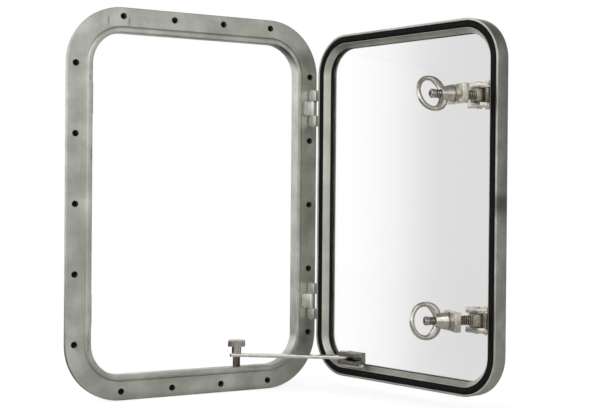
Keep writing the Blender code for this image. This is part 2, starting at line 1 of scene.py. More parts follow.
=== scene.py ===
"""Looks of the side-hung glazed ship's hatch: finishes, threads, welds, light and camera.

Metres, in the frame of the solids: X along the frame, +Y into the vessel, +Z up. Swept and turned pieces
are drawn where they lie with the sash shut and the bolts pointing inward, then turned to the open pose.
"""

import math

import bmesh
import bpy
from mathutils import Matrix, Vector, noise


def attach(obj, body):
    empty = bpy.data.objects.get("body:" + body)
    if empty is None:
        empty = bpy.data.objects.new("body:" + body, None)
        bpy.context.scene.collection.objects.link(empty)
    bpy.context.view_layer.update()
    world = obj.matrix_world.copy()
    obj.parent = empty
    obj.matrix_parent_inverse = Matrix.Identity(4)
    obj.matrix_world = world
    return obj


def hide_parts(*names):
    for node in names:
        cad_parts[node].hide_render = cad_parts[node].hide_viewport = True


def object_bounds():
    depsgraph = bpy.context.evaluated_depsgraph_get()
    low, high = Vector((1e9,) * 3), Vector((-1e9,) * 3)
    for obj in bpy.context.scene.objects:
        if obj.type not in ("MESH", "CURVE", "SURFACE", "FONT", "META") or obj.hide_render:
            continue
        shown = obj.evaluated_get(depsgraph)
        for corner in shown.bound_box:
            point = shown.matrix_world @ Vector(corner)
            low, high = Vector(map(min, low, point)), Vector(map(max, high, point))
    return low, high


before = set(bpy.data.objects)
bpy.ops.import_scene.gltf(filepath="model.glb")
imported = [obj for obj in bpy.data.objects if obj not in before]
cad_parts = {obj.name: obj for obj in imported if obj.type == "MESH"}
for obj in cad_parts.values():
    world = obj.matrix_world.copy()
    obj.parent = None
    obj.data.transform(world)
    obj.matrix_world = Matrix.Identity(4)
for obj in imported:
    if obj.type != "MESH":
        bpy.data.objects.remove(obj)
CAD_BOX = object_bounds()
MM = 0.001

# Frame: insets are measured inward from the line of the holes
CENTRE_Z = 339 * MM
HOLE_HALF = (239 * MM, 339 * MM)
HOLE_CORNER = 89 * MM
HOLE_PITCH = (100 * MM, 125 * MM)
HOLE_COUNT = (4, 5)
HOLE_STEPS = 28
FLANGE_EDGE = -16 * MM
RIM_FOOT = 18 * MM
RIM_TOP = 20.3 * MM
SPIGOT_EDGE = 22 * MM
CLEAR_EDGE = 30 * MM
FRONT_Y = -10 * MM
RIM_Y = -15.5 * MM
SPIGOT_Y = 10 * MM

# Sash: insets are measured inward from its outer edge
SASH_HALF = (224.5 * MM, 324.5 * MM)
SASH_CORNER = 74.5 * MM
RAIL_WIDTH = 25 * MM
LIP_WIDTH = 4 * MM
GASKET_WIDTH = 12 * MM
SEAL_WIDTH = 4 * MM
SEAT_GAP = 0.3 * MM
LIP_Y = -16.1 * MM
CHANNEL_Y = LIP_Y - 10 * MM
BEVEL_Y = LIP_Y - 10.5 * MM
WEATHER_Y = -44.1 * MM
GLASS_Y = -35.1 * MM
GLASS_THICKNESS = 6 * MM

# Hinges
HINGE = Vector((241.5 * MM, -18 * MM, 0))
HINGE_ZS = (527 * MM, 151 * MM)
LEAF_LENGTH = 28 * MM
LEAF_TOE = 15.6 * MM
SASH_OPEN = math.radians(101.3)

# Clamps: measured from the bolt's pivot, and the heel of the ears from the sash's outer edge
LEVELS = ("upper", "lower")
CLAMP = (-184 * MM, -16.1 * MM)
CLAMP_ZS = (529 * MM, 149 * MM)
CLAMP_SWING = (math.radians(-18), math.radians(-28))
RING_TURN = (math.radians(21.5), math.radians(5))
EYE_HALF = 11.5 * MM
THREAD_PITCH = 3.5 * MM
THREAD_DEPTH = 1.5 * MM
DOG_REACH = (-38 * MM, 18 * MM)
DOG_SPAN = (42.5 * MM, 53.5 * MM)
DOG_HALF_HEIGHT = 16.3 * MM
RING_CENTRE = 92.5 * MM
RING_ALONG = 23 * MM
RING_ACROSS = 28 * MM
RING_WIRE = 4.2 * MM
EAR_INNER = 12 * MM
EAR_OUTER = 21 * MM
WEB_X = (-24 * MM, -17.5 * MM)
WEB_Y = (-8 * MM, 5 * MM)
HEEL_INSET = 19.4 * MM

# Stay: the clevis is measured from its pin
STAY = Vector((139.5 * MM, -13 * MM, 51 * MM))
CLEVIS_ENDS = (-38 * MM, 6 * MM)
CLEVIS_NOSE = 12 * MM
CLEVIS_WEB = -9.5 * MM
CLEVIS_BACK = -18.5 * MM
JAW_OUTER = 11 * MM
JAW_INNER = 3.5 * MM

# Fineness of the drawn shapes
CORNER_STEPS = 20
EDGE_STEPS = 3
ROUND_STEPS = 40
SMOOTH_ANGLE = math.radians(38)


def turn_about(point, angle, axis="Z"):
    place = Matrix.Translation(point)
    return place @ Matrix.Rotation(angle, 4, axis) @ place.inverted()


SASH_REST = turn_about(HINGE, SASH_OPEN)


def bolt_rest(index):
    return SASH_REST @ turn_about(Vector((*CLAMP, CLAMP_ZS[index])), CLAMP_SWING[index])


def nut_rest(index):
    return bolt_rest(index) @ turn_about(Vector((*CLAMP, CLAMP_ZS[index])), RING_TURN[index], "Y")


# Colour and nodes


def linear(code):
    """An sRGB hex value as linear red, green, blue and alpha."""
    parts = [int(code[i:i + 2], 16) / 255 for i in (1, 3, 5)]
    return (*[c / 12.92 if c <= 0.04045 else ((c + 0.055) / 1.055) ** 2.4 for c in parts], 1)


def add(tree, kind, values=None, links=None, stops=(), **settings):
    """Adds a node with its settings, socket values and links, and a colour ramp's (position, hex) stops."""
    made = tree.nodes.new(kind)
    for key, value in settings.items():
        setattr(made, key, value)
    for socket, value in (values or {}).items():
        made.inputs[socket].default_value = value
    for socket, source in (links or {}).items():
        tree.links.new(source, made.inputs[socket])
    if stops:
        steps = made.color_ramp.elements
        steps[0].position, steps[0].color = stops[0][0], linear(stops[0][1])
        steps[1].position, steps[1].color = stops[-1][0], linear(stops[-1][1])
        for position, code in stops[1:-1]:
            steps.new(position).color = linear(code)
    return made


def new_material(name):
    made = bpy.data.materials.new(name)
    made.use_nodes = True
    return made, made.node_tree, made.node_tree.nodes["Principled BSDF"]


def span(low, high, out_low, out_high):
    """The limits of a Map Range node."""
    return {"From Min": low, "From Max": high, "To Min": out_low, "To Max": out_high}


def pattern(tree, coordinates, size, detail=4.0, rough=0.55):
    """Uneven tone whose patches are size = (x, y, z) metres across."""
    scaled = add(
        tree, "ShaderNodeVectorMath", {1: [1 / s for s in size]}, {0: coordinates}, operation="MULTIPLY"
    )
    made = add(
        tree,
        "ShaderNodeTexNoise",
        {"Scale": 1.0, "Detail": detail, "Roughness": rough},
        {"Vector": scaled.outputs[0]},
    )
    return made.outputs["Fac"]


def near(tree, coordinates, centre, reach):
    """A soft mask, 1 at centre and 0 past reach = (x, y, z) metres from it."""
    offset = add(tree, "ShaderNodeVectorMath", {1: centre}, {0: coordinates}, operation="SUBTRACT")
    scaled = add(
        tree,
        "ShaderNodeVectorMath",
        {1: [1 / r for r in reach]},
        {0: offset.outputs[0]},
        operation="MULTIPLY",
    )
    far = add(tree, "ShaderNodeVectorMath", links={0: scaled.outputs[0]}, operation="LENGTH")
    mask = add(
        tree,
        "ShaderNodeMapRange",
        span(0.35, 1.0, 1.0, 0.0),
        {"Value": far.outputs["Value"]},
        interpolation_type="SMOOTHSTEP",
    )
    return mask.outputs["Result"]


def background_rays(tree, behind, camera=1.0):
    """1 for rays that show the white background: the camera's, those through glass, and mirrored ones
    that leave towards the back."""
    path = add(tree, "ShaderNodeLightPath")
    seen = add(
        tree, "ShaderNodeMath", {1: camera}, {0: path.outputs["Is Camera Ray"]}, operation="MULTIPLY"
    )
    mirrored = add(
        tree, "ShaderNodeMath", links={0: path.outputs["Is Glossy Ray"], 1: behind}, operation="MULTIPLY"
    )
    through = add(
        tree,
        "ShaderNodeMath",
        links={0: path.outputs["Is Transmission Ray"], 1: mirrored.outputs[0]},
        operation="MAXIMUM",
    )
    either = add(
        tree, "ShaderNodeMath", links={0: seen.outputs[0], 1: through.outputs[0]}, operation="MAXIMUM"
    )
    return either.outputs[0]


def set_finish(tree, shader, colour, tone, roughness, height, depth):
    """Links a finish to its shader: its colour, a roughness that follows tone, marks depth metres deep."""
    rough = add(
        tree,
        "ShaderNodeMapRange",
        span(0.3, 0.7, *roughness),
        {"Value": tone},
        interpolation_type="SMOOTHSTEP",
    )
    relief = add(tree, "ShaderNodeBump", {"Strength": 0.6, "Distance": depth}, {"Height": height})
    tree.links.new(colour, shader.inputs["Base Color"])
    tree.links.new(rough.outputs["Result"], shader.inputs["Roughness"])
    tree.links.new(relief.outputs["Normal"], shader.inputs["Normal"])


# Finishes


def satin_aluminium(name, dark, light, stains=(), scuffs=(), bands=()):
    """Extruded marine aluminium, linished along its length and weathered.

    It gives a grey satin sheen with streaks along each rail. Real brush lines are about 0.1 mm wide; they
    are drawn 1 mm wide so that they show. Stains are brown runs, scuffs are dark grit in the surface, and
    bands are the dressed-back patches over welded joints.
    """
    made, tree, shader = new_material(name)
    grain = add(tree, "ShaderNodeAttribute", attribute_name="grain").outputs["Vector"]
    place = add(tree, "ShaderNodeTexCoord").outputs["Object"]
    streak = pattern(tree, grain, (90 * MM, 1 * MM, 1 * MM), 5.0, 0.6)
    cloud = pattern(tree, place, [45 * MM] * 3, 3.0)
    speck = pattern(tree, place, [2.2 * MM] * 3, 2.0)
    uneven = add(tree, "ShaderNodeMath", links={0: cloud, 1: cloud}, operation="MULTIPLY")
    tone = add(
        tree, "ShaderNodeMath", {1: 0.5}, {0: streak, 2: uneven.outputs[0]}, operation="MULTIPLY_ADD"
    )
    toned = add(
        tree, "ShaderNodeValToRGB", links={"Fac": tone.outputs[0]}, stops=((0.3, dark), (0.75, light))
    )
    colour = toned.outputs["Color"]
    for spots, broken_by, code, mode in (
        (bands, None, "#B2B2AC", "MULTIPLY"),
        (stains, span(0.35, 0.75, 0.25, 1.0), "#8A8068", "MIX"),
        (scuffs, span(0.48, 0.62, 0.0, 1.0), "#3A3733", "MIX"),
    ):
        for centre, reach in spots:
            share = near(tree, place, centre, reach)
            if broken_by:
                broken = add(
                    tree, "ShaderNodeMapRange", broken_by, {"Value": speck}, interpolation_type="SMOOTHSTEP"
                )
                links = {0: share, 1: broken.outputs["Result"]}
                share = add(tree, "ShaderNodeMath", links=links, operation="MULTIPLY").outputs[0]
            marked = add(
                tree,
                "ShaderNodeMix",
                {7: linear(code)},
                {0: share, 6: colour},
                data_type="RGBA",
                blend_type=mode,
            )
            colour = marked.outputs[2]
    set_finish(tree, shader, colour, streak, (0.34, 0.5), streak, 0.05 * MM)
    shader.inputs["Metallic"].default_value = 1.0
    return made


def stainless(name, dark, light, rough, mottle, relief):
    """Stainless steel, as rolled bar, cast ring or ground block: a warm grey that mirrors its surroundings.

    mottle is the size of the uneven tone that grinding, pickling or casting leaves, and relief the depth of
    the marks.
    """
    made, tree, shader = new_material(name)
    place = add(tree, "ShaderNodeTexCoord").outputs["Object"]
    tone = pattern(tree, place, [mottle] * 3, 5.0, 0.65)
    fine = pattern(tree, place, (0.9 * MM, 0.9 * MM, 3 * MM), 3.0)
    toned = add(tree, "ShaderNodeValToRGB", links={"Fac": tone}, stops=((0.32, dark), (0.66, light)))
    set_finish(tree, shader, toned.outputs["Color"], fine, (rough - 0.07, rough + 0.1), tone, relief)
    shader.inputs["Metallic"].default_value = 1.0
    return made


def cut_thread():
    """A cut stainless thread, with a painted highlight on its crests and painted shade in its roots."""
    made, tree, shader = new_material("cut_stainless_thread")
    place = add(tree, "ShaderNodeTexCoord").outputs["Object"]
    crest = add(tree, "ShaderNodeAttribute", attribute_name="crest").outputs["Fac"]
    wear = pattern(tree, place, [5 * MM] * 3, 4.0, 0.65)
    rubbed = add(tree, "ShaderNodeMath", {1: 0.35, 2: -0.17}, {0: wear}, operation="MULTIPLY_ADD")
    level = add(tree, "ShaderNodeMath", links={0: crest, 1: rubbed.outputs[0]}, operation="ADD")
    # Painted light: bright as a painted highlight on the crests and dark as painted shade in the roots, with
    # rubbed wear shifting it at random.
    colour = add(
        tree,
        "ShaderNodeValToRGB",
        links={"Fac": level.outputs[0]},
        stops=((0.2, "#2B2722"), (0.55, "#6E675C"), (0.95, "#E4E0D6")),
    )
    rough = add(
        tree,
        "ShaderNodeMapRange",
        span(0.3, 0.7, 0.22, 0.38),
        {"Value": wear},
        interpolation_type="SMOOTHSTEP",
    )
    tree.links.new(colour.outputs["Color"], shader.inputs["Base Color"])
    tree.links.new(rough.outputs["Result"], shader.inputs["Roughness"])
    shader.inputs["Metallic"].default_value = 1.0
    return made


def moulded_rubber(name, colour, worn):
    """Extruded black rubber: matt, a little dusty and greyer where it is rubbed."""
    made, tree, shader = new_material(name)
    place = add(tree, "ShaderNodeTexCoord").outputs["Object"]
    dust = pattern(tree, place, (6 * MM, 6 * MM, 18 * MM), 5.0, 0.7)
    dusty = add(tree, "ShaderNodeValToRGB", links={"Fac": dust}, stops=((0.45, colour), (0.8, worn)))
    set_finish(tree, shader, dusty.outputs["Color"], dust, (0.55, 0.8), dust, 0.1 * MM)
    shader.inputs["Specular IOR Level"].default_value = 0.2
    return made


def toughened_glass():
    """Toughened float glass: clear and polished, with painted shade that greys it towards its free edge.

    Its IOR is lower than real glass has, because the pane shows almost no reflections. Shadow rays pass
    straight through, as a thin clear pane lets them.
    """
    made, tree, shader = new_material("toughened_glass")
    place = add(tree, "ShaderNodeTexCoord").outputs["Object"]
    # Painted shade: the pane's colour greys from white on its hinge side to grey at its free edge.
    split = add(tree, "ShaderNodeSeparateXYZ", links={"Vector": place})
    across = add(
        tree,
        "ShaderNodeMapRange",
        span(-60 * MM, -400 * MM, 0.0, 1.0),
        {"Value": split.outputs["Y"]},
        interpolation_type="SMOOTHSTEP",
    )
    shade = add(
        tree,
        "ShaderNodeValToRGB",
        links={"Fac": across.outputs["Result"]},
        stops=((0.0, "#FFFFFF"), (0.45, "#F3F3F3"), (0.75, "#E4E4E4"), (1.0, "#DCDCDC")),
    )
    smear = pattern(tree, place, (30 * MM, 30 * MM, 80 * MM), 3.0)
    rough = add(
        tree,
        "ShaderNodeMapRange",
        span(0.4, 0.8, 0.0, 0.03),
        {"Value": smear},
        interpolation_type="SMOOTHSTEP",
    )
    tree.links.new(shade.outputs["Color"], shader.inputs["Base Color"])
    tree.links.new(rough.outputs["Result"], shader.inputs["Roughness"])
    shader.inputs["Transmission Weight"].default_value = 1.0
    shader.inputs["IOR"].default_value = 1.2
    path = add(tree, "ShaderNodeLightPath")
    clear = add(tree, "ShaderNodeBsdfTransparent")
    mixed = add(
        tree,
        "ShaderNodeMixShader",
        links={0: path.outputs["Is Shadow Ray"], 1: shader.outputs[0], 2: clear.outputs[0]},
    )
    tree.links.new(mixed.outputs[0], tree.nodes["Material Output"].inputs["Surface"])
    return made


FRAME_FINISH = satin_aluminium(
    "linished_aluminium_frame",
    "#B6B7AE",
    "#E2E3D9",
    stains=(
        ((-139 * MM, FRONT_Y, 668 * MM), (3 * MM, 9 * MM, 14 * MM)),
        ((-179 * MM, FRONT_Y, 667 * MM), (3 * MM, 9 * MM, 13 * MM)),
        ((-205 * MM, RIM_Y, 606 * MM), (4 * MM, 6 * MM, 6 * MM)),
        ((120 * MM, FRONT_Y, 30 * MM), (50 * MM, 30 * MM, 5 * MM)),
    ),
    scuffs=(
        ((-215 * MM, RIM_Y, 95 * MM), (2.4 * MM, 9 * MM, 30 * MM)),
        ((-214 * MM, RIM_Y, 565 * MM), (3 * MM, 9 * MM, 8 * MM)),
        ((-211 * MM, RIM_Y, 428 * MM), (3 * MM, 9 * MM, 24 * MM)),
    ),
)
SASH_FINISH = satin_aluminium(
    "linished_aluminium_sash",
    "#ACADA4",
    "#D8D9CF",
    bands=(((330 * MM, -460 * MM, 345 * MM), (60 * MM, 40 * MM, 30 * MM)),),
)
BEAD_FINISH = satin_aluminium("linished_aluminium_bead", "#B8B9AF", "#DADACF")
HINGE_FINISH = satin_aluminium("sawn_aluminium_hinge", "#D2D1CA", "#F6F5EE")
BAR_STEEL = stainless("rolled_stainless_bar", "#CCCAC2", "#F2F0E8", 0.24, 14 * MM, 0.06 * MM)
GROUND_STEEL = stainless("ground_stainless_block", "#BBB6AB", "#EAE6DC", 0.26, 9 * MM, 0.08 * MM)
CAST_STEEL = stainless("cast_stainless_ring", "#B4AFA5", "#E4DFD5", 0.2, 10 * MM, 0.1 * MM)
ROUGH_STEEL = stainless("pickled_stainless_eye", "#857D70", "#CFC7B9", 0.42, 4 * MM, 0.25 * MM)
THREAD_STEEL = cut_thread()
DARK_STEEL = stainless("tarnished_stainless_post", "#4E463C", "#857B6D", 0.36, 7 * MM, 0.06 * MM)
# Painted shade: the clevis's stainless is a darker copy of the bright bar, standing in for the shadow that
# the clevis sits in.
SHADED_STEEL = stainless("painted_shade_stainless_clevis", "#62615A", "#908E86", 0.4, 8 * MM, 0.06 * MM)
WELD_STEEL = stainless("stainless_weld_bead", "#C9C6BE", "#F2F0EA", 0.3, 3 * MM, 0.15 * MM)
GASKET_RUBBER = moulded_rubber("extruded_rubber_gasket", "#060606", "#131312")
SEAL_RUBBER = moulded_rubber("extruded_rubber_seal", "#060606", "#10100F")
PLUG_PLASTIC = moulded_rubber("moulded_plastic_plug", "#060606", "#0E0E0D")
GLASS = toughened_glass()


# Shapes


def finish_piece(name, shape, finish, body, nodes=(), matrix=None):
    """Makes a piece of a bmesh, gives it its finish, and has it ride on a body in place of CAD nodes."""
    bmesh.ops.recalc_face_normals(shape, faces=shape.faces)
    mesh = bpy.data.meshes.new(name)
    shape.to_mesh(mesh)
    shape.free()
    if matrix is not None:
        mesh.transform(matrix)
    mesh.materials.append(finish)
    mesh.shade_smooth()
    mesh.set_sharp_from_angle(angle=SMOOTH_ANGLE)
    piece = bpy.data.objects.new(name, mesh)
    bpy.context.scene.collection.objects.link(piece)
    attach(piece, body)
    if nodes:
        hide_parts(*nodes)
    return piece


def join_shape(shape, other, place=None):
    """Adds another bmesh to a shape, moved to its place."""
    copy = bpy.data.meshes.new("joined")
    other.to_mesh(copy)
    other.free()
    if place is not None:
        copy.transform(place)
    shape.from_mesh(copy)
    bpy.data.meshes.remove(copy)
    return shape


def bridge(shape, first, second):
    """Faces between two rings of as many points."""
    for i in range(len(first)):
        j = (i + 1) % len(first)
        shape.faces.new((first[i], first[j], second[j], second[i]))


def eased(points, radii):
    """A closed outline with each corner rounded by its radius."""
    made = []
    count = len(points)
    for i, corner in enumerate(points):
        here = Vector(corner)
        radius = radii[i]
        if not radius:
            made.append(here)
            continue
        before = (Vector(points[i - 1]) - here).normalized() * radius
        after = (Vector(points[(i + 1) % count]) - here).normalized() * radius
        for k in range(EDGE_STEPS + 1):
            t = k / EDGE_STEPS
            made.append(here + before * (1 - t) ** 2 + after * t ** 2)
    return made


def rounded_rectangle(half, radius):
    """Points round a rectangle with round corners in X and Z, each with its outward direction."""
    made = []
    for sx, sz, start in ((1, 1, 0), (-1, 1, 90), (-1, -1, 180), (1, -1, 270)):
        centre = Vector((sx * (half[0] - radius), 0, sz * (half[1] - radius)))
        for i in range(CORNER_STEPS + 1):
            angle = math.radians(start + 90 * i / CORNER_STEPS)
            outward = Vector((math.cos(angle), 0, math.sin(angle)))
            made.append((centre + outward * radius + Vector((0, 0, CENTRE_Z)), outward))
    return made


def sweep(half, radius, section):
    """A section of (inward, y) points swept round a rounded rectangle, with the grain stored on its faces.

    The grain's first value runs along the rail and its second across the section, both in metres.
    """
    stations = rounded_rectangle(half, radius)
    runs = [0.0]
    for i, (point, _) in enumerate(stations):
        runs.append(runs[-1] + (stations[(i + 1) % len(stations)][0] - point).length)
    across = [0.0]
    for i, point in enumerate(section):
        across.append(across[-1] + (section[(i + 1) % len(section)] - point).length)
    shape = bmesh.new()
    grain = shape.loops.layers.float_vector.new("grain")
    rings = []
    for point, outward in stations:
        rings.append([shape.verts.new(point - outward * s.x + Vector((0, s.y, 0))) for s in section])
    for i, ring in enumerate(rings):
        following = rings[(i + 1) % len(rings)]
        for k in range(len(section)):
            after = (k + 1) % len(section)
            face = shape.faces.new((ring[k], ring[after], following[after], following[k]))
            ends = ((i, k), (i, k + 1), (i + 1, k + 1), (i + 1, k))
            for loop, (station, step) in zip(face.loops, ends):
                loop[grain] = (runs[station], across[step], 0)
    return shape


def lathe(profile, steps=ROUND_STEPS):
    """A (radius, length) profile in millimetres turned about Y; a point at radius 0 closes an end."""
    shape = bmesh.new()
    rings = []
    for radius, length in profile:
        turns = [2 * math.pi * i / steps for i in range(steps)] if radius > 0 else [0.0]
        across = radius * MM
        points = ((across * math.cos(a), length * MM, across * math.sin(a)) for a in turns)
        rings.append([shape.verts.new(p) for p in points])
    for first, second in zip(rings, rings[1:]):
        for i in range(steps):
            corners = [first[i % len(first)], first[(i + 1) % len(first)]]
            corners += [second[(i + 1) % len(second)], second[i % len(second)]]
            unique = list(dict.fromkeys(corners))
            if len(unique) > 2:
                shape.faces.new(unique)
    return shape


def block(low, high, ease):
    """A box from low to high with its edges rounded."""
    shape = bmesh.new()
    low, high = Vector(low), Vector(high)
    place = Matrix.Translation((low + high) / 2) @ Matrix.Diagonal((*(high - low), 1))
    bmesh.ops.create_cube(shape, size=1, matrix=place)
    bmesh.ops.bevel(shape, geom=shape.edges[:], offset=ease, segments=3, profile=0.5, affect="EDGES")
    return shape


def tube(path, radii, lift_axis, sides=10):
    """A tube along a path, with a radius at each point and flat ends."""
    shape = bmesh.new()
    rings = []
    last = len(path) - 1
    for i, (point, radius) in enumerate(zip(path, radii)):
        ahead = (path[min(i + 1, last)] - path[max(i - 1, 0)]).normalized()
        side = ahead.cross(lift_axis).normalized()
        lift = side.cross(ahead).normalized()
        turns = (2 * math.pi * k / sides for k in range(sides))
        offsets = [side * math.cos(a) * radius + lift * math.sin(a) * radius for a in turns]
        rings.append([shape.verts.new(point + o) for o in offsets])
    for first, second in zip(rings, rings[1:]):
        bridge(shape, first, second)
    shape.faces.new(rings[0])
    shape.faces.new(list(reversed(rings[-1])))
    return shape


def weld(name, start, end, radius, body, matrix=None, finish=WELD_STEEL):
    """A run of weld metal from start to end, rippled where each pool froze."""
    start, end = Vector(start), Vector(end)
    count = max(9, int((end - start).length / (0.8 * MM)))
    path = [start.lerp(end, i / (count - 1)) for i in range(count)]
    radii = []
    for i, point in enumerate(path):
        share = i / (count - 1)
        ease = min(1.0, 9 * share + 0.5, 9 * (1 - share) + 0.5)
        ripple = 1 + 0.2 * math.sin(i * 1.3) + 0.25 * noise.noise(point * 260)
        radii.append(radius * ease * ripple)
    upright = abs((end - start).normalized().z) > 0.9
    lift_axis = Vector((0, 1, 0)) if upright else Vector((0, 0, 1))
    return finish_piece(name, tube(path, radii, lift_axis), finish, body, matrix=matrix)


def dress(node, finish, body, width, segments=2):
    """A copy of a CAD node with its edges broken by width, standing for it."""
    shape = bmesh.new()
    shape.from_mesh(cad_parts[node].data)
    bmesh.ops.remove_doubles(shape, verts=shape.verts, dist=0.002 * MM)
    bmesh.ops.dissolve_limit(
        shape, angle_limit=math.radians(1), verts=shape.verts, edges=shape.edges
    )
    edges = [e for e in shape.edges if len(e.link_faces) == 2 and e.calc_face_angle() > SMOOTH_ANGLE]
    bmesh.ops.bevel(
        shape,
        geom=edges,
        offset=width,
        segments=segments,
        profile=0.6,
        affect="EDGES",
        clamp_overlap=True,
    )
    layer = shape.loops.layers.float_vector.new("grain")
    for face in shape.faces:
        for loop in face.loops:
            loop[layer] = (loop.vert.co.z, loop.vert.co.x, loop.vert.co.y)
    return finish_piece(node + "_dressed", shape, finish, body, (node,))


# Frame


# Radius and length in millimetres of a hole and of the plug in it
BORE_PROFILE = ((0, -13), (6, -13), (6, 5), (0, 5))
PLUG_PROFILE = ((0, -3.4), (5.1, -3.4), (5.7, -2.6), (5.7, -0.4), (5.2, -0.2), (0, -0.2))


def drill(piece, cutters):
    """Cuts holes through a piece's mesh."""
    bmesh.ops.recalc_face_normals(cutters, faces=cutters.faces)
    cutter_mesh = bpy.data.meshes.new("drill")
    cutters.to_mesh(cutter_mesh)
    cutters.free()
    cutter_mesh.materials.append(FRAME_FINISH)
    cutter = bpy.data.objects.new("drill", cutter_mesh)
    bpy.context.scene.collection.objects.link(cutter)
    step = piece.modifiers.new("holes", "BOOLEAN")
    step.operation = "DIFFERENCE"
    step.solver = "EXACT"
    step.object = cutter
    graph = bpy.context.evaluated_depsgraph_get()
    cut = bpy.data.meshes.new_from_object(piece.evaluated_get(graph))
    piece.modifiers.clear()
    piece.data = cut
    cut.set_sharp_from_angle(angle=SMOOTH_ANGLE)
    bpy.data.objects.remove(cutter)


def make_frame():
    section = eased(
        [
            (FLANGE_EDGE, 0),
            (FLANGE_EDGE, FRONT_Y),
            (RIM_FOOT, FRONT_Y),
            (RIM_TOP, RIM_Y),
            (CLEAR_EDGE, RIM_Y),
            (CLEAR_EDGE, SPIGOT_Y),
            (SPIGOT_EDGE, SPIGOT_Y),
            (SPIGOT_EDGE, 0),
        ],
        [r * MM for r in (1, 1.6, 0.6, 3.4, 1.6, 0.8, 0.8, 0.6)],
    )
    casting = finish_piece(
        "frame_casting",
        sweep(HOLE_HALF, HOLE_CORNER, section),
        FRAME_FINISH,
        "frame",
        ("hatch_frame",),
    )
    cutters, plugs = bmesh.new(), bmesh.new()
    across = [(i - (HOLE_COUNT[0] - 1) / 2) * HOLE_PITCH[0] for i in range(HOLE_COUNT[0])]
    up = [(i - (HOLE_COUNT[1] - 1) / 2) * HOLE_PITCH[1] for i in range(HOLE_COUNT[1])]
    places = [(x, s * HOLE_HALF[1]) for x in across for s in (-1, 1)]
    places += [(s * HOLE_HALF[0], z) for z in up for s in (-1, 1)]
    for x, z in places:
        spot = Matrix.Translation((x, 0, z + CENTRE_Z))
        join_shape(cutters, lathe(BORE_PROFILE, HOLE_STEPS), spot)
        join_shape(plugs, lathe(PLUG_PROFILE, HOLE_STEPS), spot)
    finish_piece("hole_plugs", plugs, PLUG_PLASTIC, "frame")
    drill(casting, cutters)
    for level in LEVELS:
        dress(f"keeper_{level}", FRAME_FINISH, "frame", 0.5 * MM)


# Hinges


def make_hinges():
    toe = HINGE.x - LEAF_TOE
    half = LEAF_LENGTH / 2 - 1 * MM
    weld_y = FRONT_Y - 1.2 * MM
    for level, z in zip(LEVELS, HINGE_ZS):
        dress(f"hinge_leaf_{level}", HINGE_FINISH, "frame", 0.8 * MM)
        dress(f"hinge_pin_{level}", BAR_STEEL, "frame", 0.3 * MM)
        for side in ("top", "bottom"):
            node = f"sash_knuckle_{level}_{side}"
            dress(node, HINGE_FINISH, "sash", 1 * MM)
        weld(
            f"leaf_weld_{level}",
            (toe, weld_y, z - half),
            (toe, weld_y, z + half),
            2.6 * MM,
            "frame",
            finish=HINGE_FINISH,
        )


# Sash


def make_sash():
    channel = LIP_WIDTH + GASKET_WIDTH
    channel_wall = channel - SEAT_GAP
    shelf_y = GLASS_Y - GLASS_THICKNESS - SEAT_GAP
    shell = eased(
        [
            (0, WEATHER_Y),
            (0, LIP_Y),
            (LIP_WIDTH, LIP_Y),
            (LIP_WIDTH, CHANNEL_Y),
            (channel_wall, CHANNEL_Y),
            (channel_wall, shelf_y),
            (RAIL_WIDTH, shelf_y),
            (RAIL_WIDTH, WEATHER_Y),
        ],
        [r * MM for r in (2, 0.9, 0.6, 0, 0, 0, 0.4, 1)],
    )
    low, high = LIP_WIDTH + SEAT_GAP, channel - 2 * SEAT_GAP
    foot, crown = CHANNEL_Y + SEAT_GAP, LIP_Y + SEAT_GAP
    rubber = eased(
        [(low, foot), (low, crown), (high, crown), (high, foot)],
        [r * MM for r in (0.3, 3.2, 3.2, 0.3)],
    )
    seal_in = RAIL_WIDTH - SEAL_WIDTH
    seat_y = GLASS_Y + SEAT_GAP
    bead_foot = BEVEL_Y - SEAT_GAP
    strip = eased(
        [
            (channel, LIP_Y),
            (channel, seat_y),
            (seal_in, seat_y),
            (seal_in, bead_foot),
            (RAIL_WIDTH, bead_foot),
            (RAIL_WIDTH, BEVEL_Y),
            (channel + 1 * MM, LIP_Y),
        ],
        [r * MM for r in (0.4, 0, 0, 0, 0, 0.1, 0.4)],
    )
    wedge_low = seal_in + SEAT_GAP
    wedge_top = bead_foot - SEAT_GAP
    wedge = eased(
        [(wedge_low, wedge_top), (wedge_low, seat_y), (RAIL_WIDTH, seat_y), (RAIL_WIDTH, wedge_top)],
        [r * MM for r in (0.2, 0.2, 0.5, 1.2)],
    )
    rings = (
        ("sash_shell", shell, SASH_FINISH, "satin_aluminium", "sash_frame"),
        ("gasket_ring", rubber, GASKET_RUBBER, "black_rubber", "sash_gasket"),
        ("bead_ring", strip, BEAD_FINISH, "satin_aluminium", "glazing_bead"),
        ("seal_ring", wedge, SEAL_RUBBER, "black_rubber", "glazing_seal"),
    )
    for name, section, finish, slot, node in rings:
        shape = sweep(SASH_HALF, SASH_CORNER, section)
        finish_piece(name, shape, finish, "sash", (node,), SASH_REST)
    make_pane(channel + SEAT_GAP)


def make_pane(inset):
    half = [h - inset for h in SASH_HALF]
    outline = [point for point, _ in rounded_rectangle(half, SASH_CORNER - inset)]
    pane = bmesh.new()
    faces = []
    for y in (GLASS_Y, GLASS_Y - GLASS_THICKNESS):
        faces.append([pane.verts.new(point + Vector((0, y, 0))) for point in outline])
        pane.faces.new(faces[-1])
    bridge(pane, *faces)
    finish_piece("pane", pane, GLASS, "sash", ("glass_pane",), SASH_REST)


# Clamps


# Stops of the bolt in millimetres: length, radius and whether a thread runs from there to the next.
# A threaded shank, a step down to the nut's thread, a groove, a collar and the hollow end.
BOLT_STOPS = (
    (10, 8.8, True), (43, 8.8, False), (44, 7.9, True), (85, 7.4, False), (85.4, 6.6, False),
    (87, 6.6, False), (87.4, 7.7, False), (92.6, 7.7, False), (94, 6.2, False),
    (94, 4.4, False), (90, 4.0, False), (90, 3.9, False),
)
